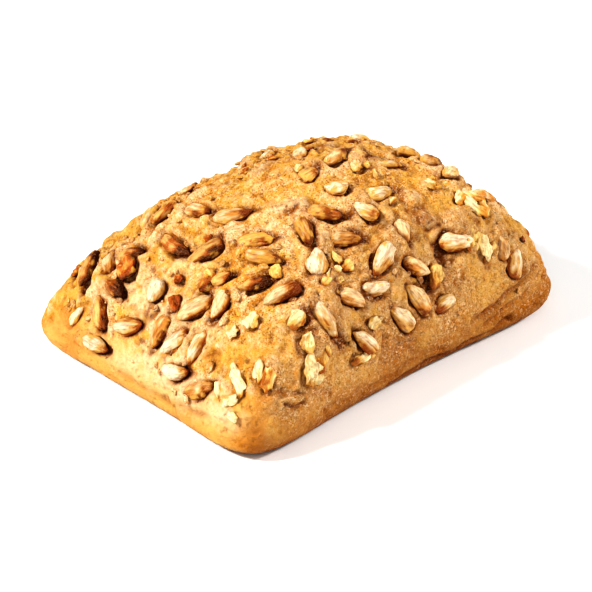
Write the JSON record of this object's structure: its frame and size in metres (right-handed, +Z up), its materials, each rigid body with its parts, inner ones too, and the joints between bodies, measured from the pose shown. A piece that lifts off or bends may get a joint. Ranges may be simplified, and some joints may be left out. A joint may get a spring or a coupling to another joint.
{
  "type": "bread roll",
  "caption": "Domed, soft-cornered baked bread roll with a broad flat underside and whole sunflower kernels pressed into its crust.",
  "frame": {"origin": "middle of the roll's footprint, on the surface it rests on", "axes": "+Z up, +X along the long side, +Y along the short side, away from the more pinched long side"},
  "size_m": [0.1052, 0.0764, 0.0465],
  "materials": {
    "crust": "matte baked crust, golden-brown with paler floury patches",
    "kernel_pale": "satin, pale shelled kernel",
    "kernel_tan": "satin, toasted tan kernel",
    "kernel_dark": "slightly glossy, dark roasted kernel"
  },
  "bodies": {
    "root": {"loaf": "crust", "seed_back_01": "kernel_pale", "seed_back_02": "kernel_tan", "seed_back_03": "kernel_dark", "seed_front_01": "kernel_pale", "seed_front_02": "kernel_tan", "seed_front_03": "kernel_pale", "seed_front_04": "kernel_pale", "seed_front_05": "kernel_pale", "seed_front_06": "kernel_tan", "seed_front_07": "kernel_tan", "seed_front_08": "kernel_pale", "seed_front_09": "kernel_tan", "seed_front_10": "kernel_pale", "seed_left_01": "kernel_dark", "seed_left_02": "kernel_pale", "seed_left_03": "kernel_pale", "seed_left_04": "kernel_tan", "seed_left_05": "kernel_pale", "seed_left_06": "kernel_pale", "seed_left_07": "kernel_pale", "seed_left_08": "kernel_tan", "seed_right_01": "kernel_pale", "seed_right_02": "kernel_tan", "seed_top_01": "kernel_dark", "seed_top_02": "kernel_tan", "seed_top_03": "kernel_dark", "seed_top_04": "kernel_dark", "seed_top_05": "kernel_dark", "seed_top_06": "kernel_dark", "seed_top_07": "kernel_pale", "seed_top_08": "kernel_tan", "seed_top_09": "kernel_tan", "seed_top_10": "kernel_dark", "seed_top_11": "kernel_tan", "seed_top_12": "kernel_tan", "seed_top_13": "kernel_tan", "seed_top_14": "kernel_dark", "seed_top_15": "kernel_tan", "seed_top_16": "kernel_dark", "seed_top_17": "kernel_tan", "seed_top_18": "kernel_tan", "seed_top_19": "kernel_pale", "seed_top_20": "kernel_tan", "seed_top_21": "kernel_dark", "seed_top_22": "kernel_pale", "seed_top_23": "kernel_dark", "seed_top_24": "kernel_tan", "seed_top_25": "kernel_pale", "seed_top_26": "kernel_pale", "seed_top_27": "kernel_pale", "seed_top_28": "kernel_tan", "seed_top_29": "kernel_pale", "seed_top_30": "kernel_pale", "seed_top_31": "kernel_tan", "seed_top_32": "kernel_tan", "seed_top_33": "kernel_tan", "seed_top_34": "kernel_tan", "seed_top_35": "kernel_pale", "seed_top_36": "kernel_dark"}
  },
  "joints": []
}
